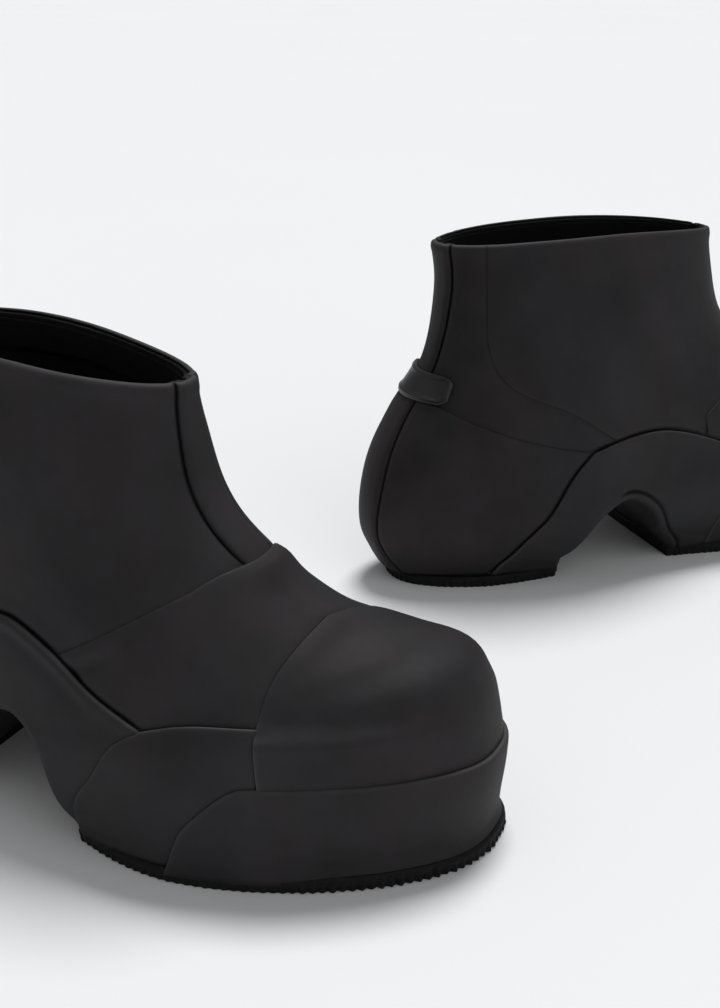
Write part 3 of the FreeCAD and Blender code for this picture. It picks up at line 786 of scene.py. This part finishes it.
def closed_slab(top, bottom):
    """Closed solid between two grids of the same shape."""
    upper, faces = strip_mesh(top)
    lower, _ = strip_mesh(bottom)
    count = len(upper)
    rows, columns = top.shape[:2]
    order = np.arange(rows * columns).reshape(rows, columns)
    loop = np.concatenate([order[0, :-1], order[:-1, -1], order[-1, :0:-1], order[:0:-1, 0]])
    after = np.roll(loop, -1)
    sides = np.stack([after, loop, loop + count, after + count], 1)
    return np.concatenate([upper, lower]), np.concatenate([faces, faces[:, ::-1] + count, sides])


outer_tree = BVHTree.FromPolygons(POINTS.tolist(), TRIS.tolist())


def side_y(x, z, direction, inset):
    """Where the outer surface lies to the side at x, z, moved inwards by inset."""
    start = Vector((x, centreline(x) + direction * 200, z))
    hit = outer_tree.ray_cast(start, Vector((0, -direction, 0)))[0]
    return (hit.y if hit else float(centreline(x))) - direction * inset


def footbed_mesh():
    """Crowned foam footbed, dished at the heel, that fills the boot's floor."""
    stations, across = 64, 21
    back, toe = 5.0, 284.0
    top = np.zeros((stations, across, 3))
    bottom = np.zeros_like(top)
    for i in range(stations):
        x = back + (toe - back) * (1 - math.cos(math.pi * i / (stations - 1))) / 2
        floor = float(insole_height(x)) + BOARD
        left, right = (side_y(x, floor + 3, direction, 4.8) for direction in (-1, 1))
        left, right = min(left, right - 0.5), max(right, left + 0.5)
        for j in range(across):
            share = -math.cos(math.pi * j / (across - 1))
            y = (left + right) / 2 + (right - left) / 2 * share
            dish = 1.6 * share ** 2 * float(ease((150 - x) / 90)) + 1.2 * share ** 4
            crown = 0.5 * math.exp(-((x - 130) / 30) ** 2) * (1 - share)
            ends = min(1.0, math.sqrt(max(0.0, 1 - abs(share) ** 10)) + 0.25)
            top[i, j] = (x, y, floor + (FOOTBED - 0.4 + dish + crown) * ends)
            bottom[i, j] = (x, y, floor + 0.1)
    return closed_slab(top, bottom)


def arch_mesh(waves):
    """Rubber sheet that lines the arch, from the lateral to the medial edge."""
    across, steps = 25, 12
    under, over = [], []
    for k in range(across):
        share = (1 - math.cos(math.pi * k / (across - 1))) / 2
        lines = {}
        for name, grow in (("under", 0.0), ("over", ARCH_THICK)):
            at = {}
            for side, y in ARCH_SKIN_Y.items():
                line = arch_line(y, steps)
                line = np.concatenate([[line[0] - (0.6, 3.2)], line, [line[-1] + (0.6, -1.6)]])
                along = unit(np.gradient(line, axis=0))
                line = line + np.stack([-along[:, 1], along[:, 0]], 1) * grow
                direction = -1 if side == "lateral" else 1
                ys = np.array([side_y(x, max(z, 8.0), direction, ARCH_EDGE) for x, z in line])
                drawn = foot_tuck(np.stack([line[:, 0], ys, line[:, 1]], 1))
                ys -= direction * np.maximum(drawn, 0)
                at[side] = np.stack([line[:, 0], ys, line[:, 1]], 1)
            lines[name] = at["lateral"] + (at["medial"] - at["lateral"]) * share
        under.append(lines["under"])
        over.append(lines["over"])
    under, over = np.array(under), np.array(over)
    flat = under.reshape(-1, 3)
    flat[:, 2] += 0.8 * waves(flat) * np.sin(np.pi * np.repeat(np.linspace(0, 1, across),
                                                                under.shape[1]))
    return closed_slab(under, over)


# ------------------------------------------------------------------ materials


class Nodes:
    """Short hand for building a material's node tree."""

    def __init__(self, name):
        self.material = bpy.data.materials.new(name)
        self.material.use_nodes = True
        self.tree = self.material.node_tree
        self.shader = self.tree.nodes["Principled BSDF"]
        self.place = self.add("ShaderNodeTexCoord").outputs["Object"]

    def add(self, kind, **settings):
        node = self.tree.nodes.new(kind)
        for key, value in settings.items():
            setattr(node, key, value)
        return node

    def link(self, source, target):
        self.tree.links.new(source, target)

    def stretched(self, scale):
        mapping = self.add("ShaderNodeMapping")
        mapping.inputs["Scale"].default_value = scale
        self.link(self.place, mapping.inputs["Vector"])
        return mapping.outputs["Vector"]

    def noise(self, scale, detail=3.0, rough=0.5, vector=None):
        node = self.add("ShaderNodeTexNoise")
        node.inputs["Scale"].default_value = scale
        node.inputs["Detail"].default_value = detail
        node.inputs["Roughness"].default_value = rough
        self.link(vector or self.place, node.inputs["Vector"])
        return node.outputs["Fac"]

    def wave(self, scale, direction, distortion):
        node = self.add("ShaderNodeTexWave", bands_direction=direction)
        node.inputs["Scale"].default_value = scale
        node.inputs["Distortion"].default_value = distortion
        node.inputs["Detail Scale"].default_value = 2.0
        self.link(self.place, node.inputs["Vector"])
        return node.outputs["Fac"]

    def cells(self, scale):
        node = self.add("ShaderNodeTexVoronoi")
        node.inputs["Scale"].default_value = scale
        self.link(self.place, node.inputs["Vector"])
        return node.outputs["Distance"]

    def mark(self, name):
        return self.add("ShaderNodeAttribute", attribute_name=name).outputs["Fac"]

    def math(self, operation, first, second):
        node = self.add("ShaderNodeMath", operation=operation)
        for socket, value in zip(node.inputs, (first, second)):
            if isinstance(value, (int, float)):
                socket.default_value = value
            else:
                self.link(value, socket)
        return node.outputs["Value"]

    def ramp(self, source, stops):
        """Colour ramp through (place, colour) stops."""
        node = self.add("ShaderNodeValToRGB")
        band = node.color_ramp.elements
        while len(band) < len(stops):
            band.new(0.5)
        for element, (place, colour) in zip(band, stops):
            element.position = place
            element.color = (*colour, 1)
        self.link(source, node.inputs["Fac"])
        return node.outputs["Color"]

    def mix(self, share, first, second):
        node = self.add("ShaderNodeMix", data_type="RGBA")
        self.link(share, node.inputs[0])
        for socket, value in ((node.inputs[6], first), (node.inputs[7], second)):
            if isinstance(value, tuple):
                socket.default_value = (*value, 1)
            else:
                self.link(value, socket)
        return node.outputs[2]

    def spread(self, source, low, high):
        node = self.add("ShaderNodeMapRange")
        self.link(source, node.inputs["Value"])
        node.inputs["To Min"].default_value = low
        node.inputs["To Max"].default_value = high
        return node.outputs["Result"]

    def bump(self, height, distance, strength, below=None):
        node = self.add("ShaderNodeBump")
        node.inputs["Strength"].default_value = strength
        node.inputs["Distance"].default_value = distance
        self.link(height, node.inputs["Height"])
        if below:
            self.link(below, node.inputs["Normal"])
        return node.outputs["Normal"]

    def finish(self, colour, roughness, normal, **plain):
        self.link(colour, self.shader.inputs["Base Color"])
        self.link(roughness, self.shader.inputs["Roughness"])
        self.link(normal, self.shader.inputs["Normal"])
        for key, value in plain.items():
            self.shader.inputs[key.replace("_", " ")].default_value = value
        return self.material


def sheet_rubber():
    """Hand-laid black sheet rubber: cloudy bloom, painted highlights along the edges, painted shade
    in seams and creases, fine grain.
    """
    n = Nodes("sheet_rubber")
    cloud = n.noise(34, 4, 0.55)
    warm = n.noise(20, 2, 0.5, n.stretched((1.0, 1.3, 0.8)))
    cool_black = n.ramp(cloud, [(0.3, (0.0108, 0.0110, 0.0124)), (0.7, (0.0200, 0.0202, 0.0222))])
    warm_black = n.ramp(cloud, [(0.3, (0.0138, 0.0113, 0.0126)), (0.7, (0.0240, 0.0203, 0.0222))])
    tone = n.mix(n.ramp(warm, [(0.42, (0, 0, 0)), (0.58, (1, 1, 1))]), cool_black, warm_black)
    # Painted highlight: the edges turn pale grey where the edge mark is, broken up by noise.
    edge = n.math("MULTIPLY", n.mark("painted_highlight"), n.spread(n.noise(140, 3), 0.25, 0.8))
    tone = n.mix(edge, tone, (0.11, 0.109, 0.111))
    # Painted shade: near-black where the seam mark is.
    tone = n.mix(n.math("MULTIPLY", n.mark("painted_shade"), 0.9), tone, (0.002, 0.002, 0.0022))
    rough = n.spread(n.math("ADD", n.math("MULTIPLY", cloud, 0.6),
                            n.math("MULTIPLY", n.noise(260, 2), 0.4)), 0.56, 0.76)
    swell = n.bump(n.noise(34, 2, 0.4), 0.0012, 0.25)
    grain = n.bump(n.noise(900, 3, 0.6), 0.00012, 0.35, swell)
    return n.finish(tone, rough, grain, Specular_IOR_Level=0.22)


def sole_rubber():
    """Denser moulded rubber, with moulding grain and fine dark specks."""
    n = Nodes("sole_rubber")
    speck = n.noise(420, 4, 0.6)
    tone = n.ramp(speck, [(0.35, (0.004, 0.004, 0.0042)), (0.75, (0.011, 0.0105, 0.0108))])
    rough = n.spread(n.noise(90, 3), 0.55, 0.78)
    coarse = n.bump(n.noise(300, 3, 0.6), 0.0004, 0.5)
    fine = n.bump(n.noise(1500, 2, 0.6), 0.0001, 0.5, coarse)
    return n.finish(tone, rough, fine, Specular_IOR_Level=0.16)


def label_rubber():
    """Smoother satin rubber patch with a slight pearly orange-peel surface."""
    n = Nodes("label_rubber")
    cloud = n.noise(60, 3)
    tone = n.ramp(cloud, [(0.3, (0.008, 0.008, 0.009)), (0.7, (0.013, 0.013, 0.014))])
    # Painted highlight: the label's edge is lightened towards grey.
    tone = n.mix(n.math("MULTIPLY", n.mark("painted_highlight"), 0.4), tone, (0.05, 0.05, 0.052))
    rough = n.spread(n.noise(300, 2), 0.33, 0.45)
    return n.finish(tone, rough, n.bump(n.noise(700, 2), 0.0001, 0.4), Specular_IOR_Level=0.42)


def cloth(name, dark, light, scale, distortion, height):
    """Woven or knitted cloth: two crossed sets of threads with fuzz."""
    n = Nodes(name)
    warp = n.wave(scale, "X", distortion)
    fill = n.wave(scale, "Z", distortion)
    cross = n.wave(scale, "Y", distortion)
    weave = n.math("MULTIPLY", n.math("MAXIMUM", warp, cross), fill)
    tone = n.mix(weave, n.ramp(n.noise(30, 3), [(0.3, dark), (0.7, light)]), light)
    rough = n.spread(n.noise(400, 2), 0.82, 0.98)
    threads = n.bump(weave, height, 0.8)
    fuzz = n.bump(n.noise(2200, 3, 0.7), height / 2, 0.6, threads)
    return n.finish(tone, rough, fuzz, Specular_IOR_Level=0.08, Sheen_Weight=0.03,
                    Sheen_Roughness=0.6)


def foam_core():
    """Fine closed-cell foam."""
    n = Nodes("foam_core")
    cell = n.cells(700)
    tone = n.ramp(cell, [(0.1, (0.07, 0.07, 0.073)), (0.6, (0.15, 0.15, 0.155))])
    rough = n.spread(n.noise(200, 2), 0.85, 0.97)
    return n.finish(tone, rough, n.bump(cell, 0.0006, 0.7), Specular_IOR_Level=0.2)


def fibre_board():
    """Pressed fibre board with short matted fibres."""
    n = Nodes("fibre_board")
    fibres = n.noise(260, 5, 0.65, n.stretched((1.0, 4.0, 4.0)))
    tone = n.ramp(fibres, [(0.3, (0.24, 0.18, 0.12)), (0.7, (0.4, 0.32, 0.23))])
    rough = n.spread(n.noise(150, 3), 0.75, 0.92)
    return n.finish(tone, rough, n.bump(fibres, 0.0003, 0.6), Specular_IOR_Level=0.25)


def spring_steel():
    """Rolled spring steel, brushed along its length."""
    n = Nodes("spring_steel")
    lines = n.noise(600, 3, 0.6, n.stretched((0.08, 1.0, 1.0)))
    tone = n.ramp(lines, [(0.3, (0.36, 0.36, 0.38)), (0.7, (0.56, 0.56, 0.58))])
    rough = n.spread(lines, 0.25, 0.45)
    return n.finish(tone, rough, n.bump(lines, 0.00005, 0.5), Metallic=1.0)


def pale_floor():
    """Seamless pale studio paper."""
    n = Nodes("studio_floor")
    tone = n.ramp(n.noise(1.2, 2), [(0.3, (0.80, 0.806, 0.816)), (0.7, (0.81, 0.816, 0.826))])
    rough = n.spread(n.noise(40, 2), 0.9, 0.98)
    return n.finish(tone, rough, n.bump(n.noise(900, 2), 0.00005, 0.2), Specular_IOR_Level=0.1)


MATERIALS = {
    "sheet_rubber": sheet_rubber(),
    "sole_rubber": sole_rubber(),
    "label_rubber": label_rubber(),
    "foam_core": foam_core(),
    "fibre_board": fibre_board(),
    "spring_steel": spring_steel(),
    "footbed_textile": cloth("footbed_textile", (0.01, 0.01, 0.0105), (0.022, 0.022, 0.023),
                             620, 1.5, 0.0003),
    "canvas": cloth("canvas", (0.07, 0.07, 0.068), (0.13, 0.13, 0.126), 420, 0.6, 0.0004),
    # The lining and tape colours are their own black plus painted shade for the inside of the
    # shaft, so they are darker than any black cloth.
    "lining_jersey": cloth("lining_jersey", (0.0018, 0.0018, 0.002), (0.004, 0.004, 0.0044),
                           760, 2.0, 0.0003),
    "woven_tape": cloth("woven_tape", (0.0022, 0.0022, 0.0025), (0.0055, 0.0055, 0.006),
                        520, 0.8, 0.0004),
}

# ------------------------------------------------------------------ building both boots

slot_of = {part["node"]: part["material_slot"] for part in frame["record"]["subparts"]}
for node, item in frame["nodes"].items():
    item.data.materials.clear()
    item.data.materials.append(MATERIALS[slot_of[node]])
    item.data.polygons.foreach_set("use_smooth", [False] * len(item.data.polygons))


def build_sheets(boot, waves):
    """The outer rubber sheets and the label of one boot."""
    for name, side in CUTS:
        fields, tris = CUT[name, side]
        out, painted_highlight, painted_shade = stand_out(name, side, fields, waves)
        points, faces = closed_sheet(fields, tris, out, SHEET_THICK)
        node = "_".join([boot, name] + ([side] if side else []))
        # The two marks carry the painted highlight along the edges and the painted shade in seams
        # and creases.
        add_piece("_sheet", node, boot, points, faces,
                  {"painted_highlight": np.tile(painted_highlight, 2), "painted_shade": np.tile(painted_shade, 2)})


def build_inside(boot, waves):
    """Lining, interlining, collar tape, footbed and arch sheet of one boot."""
    for name in INSIDE:
        points, faces = inner_layer(name, waves)
        piece = add_piece("_cloth", f"{boot}_{name}", boot, points, faces)
    points, faces = footbed_mesh()
    add_piece("_pad", boot + "_footbed", boot, points, faces)
    points, faces = arch_mesh(waves)
    # The arch lining gets neither painted highlight nor painted shade.
    add_piece("_sheet", boot + "_arch_lining", boot, points, faces,
              {"painted_highlight": [0.0], "painted_shade": [0.0]})


def build_cores(boot):
    """The foam blocks, with their lower corners drawn in like the sheets round them."""
    for part in SPAN:
        node = f"{boot}_{part}_core"
        source = frame["nodes"][node]
        world = np.array([source.matrix_world @ v.co for v in source.data.vertices])
        local = from_scene(world, boot)
        off = local[:, 1] - centreline(local[:, 0])
        share = np.sign(off) * ease(np.abs(off) / CORE_MIDDLE) * CORE_TUCK
        local[:, 1] -= share * foot_tuck(local)
        faces = [list(face.vertices) for face in source.data.polygons]
        if BOOTS[boot] < 0:
            faces = [face[::-1] for face in faces]
        add_piece("_foam", node, boot, local, faces, smooth=False)


def build_outsoles(boot, draw):
    """Both outsole slabs of one boot."""
    for part in SPAN:
        points, faces = outsole_mesh(part, draw)
        piece = add_piece("_slab", f"{boot}_outsole_{part}", boot, points, faces, smooth=False)
        cut_grooves(piece, boot, part)


CUT = {(name, side): cut_sheet(name, side) for name, side in CUTS}
for seed, boot in enumerate(BOOTS):
    build_sheets(boot, Waves(seed + 11, 42, 0.22))
    build_inside(boot, Waves(seed + 31, 35, 0.12))
    build_outsoles(boot, np.random.default_rng(seed + 51))
    build_cores(boot)

# ------------------------------------------------------------------ floor, light and camera


FLOOR_HALF = 40.0
ROUND_TONE = (0.985, 0.99, 1.0, 1)
ROUND_STRENGTH = 0.22
LIGHTS = {                      # direction it comes from, strength, spread in degrees
    "key_light": ((0.08, 0.32, 1.0), 2.5, 20),
    "right_fill": ((0.6, -0.9, 0.8), 0.54, 60),
    "left_fill": ((-0.9, -0.3, 1.0), 0.16, 60),
}


def studio():
    """Pale paper floor, three broad lights and weak light from all round."""
    mesh = bpy.data.meshes.new("floor")
    corners = [(-1, -1), (1, -1), (1, 1), (-1, 1)]
    mesh.from_pydata([(x * FLOOR_HALF, y * FLOOR_HALF, 0) for x, y in corners],
                     [], [(0, 1, 2, 3)])
    mesh.materials.append(pale_floor())
    place("floor", mesh)
    world = bpy.data.worlds.new("studio_light")
    world.use_nodes = True
    background = world.node_tree.nodes["Background"]
    background.inputs["Color"].default_value = ROUND_TONE
    background.inputs["Strength"].default_value = ROUND_STRENGTH
    bpy.context.scene.world = world
    bpy.context.scene.view_settings.view_transform = "Standard"
    for name, row in LIGHTS.items():
        soft_light(name, *row)


def soft_light(name, source, strength, spread):
    """Broad even light that comes from the direction of source."""
    light = bpy.data.lights.new(name, "SUN")
    light.energy = strength
    light.angle = math.radians(spread)
    lamp = place(name, light)
    lamp.location = source
    lamp.rotation_euler = (-Vector(source)).to_track_quat("-Z", "Y").to_euler()


CAMERA_PLACE = (-0.0304, -0.5712, 0.2994)
CAMERA_PITCH = math.radians(22.13)
CAMERA_LENS = 48.4


def camera():
    """Looks along +Y and down, close enough that both boots run out of the picture."""
    lens = bpy.data.cameras.new("camera")
    lens.lens = CAMERA_LENS
    eye = place("camera", lens)
    eye.location = CAMERA_PLACE
    eye.rotation_euler = (math.pi / 2 - CAMERA_PITCH, 0, 0)
    bpy.context.scene.camera = eye


studio()
camera()

bpy.context.view_layer.update()
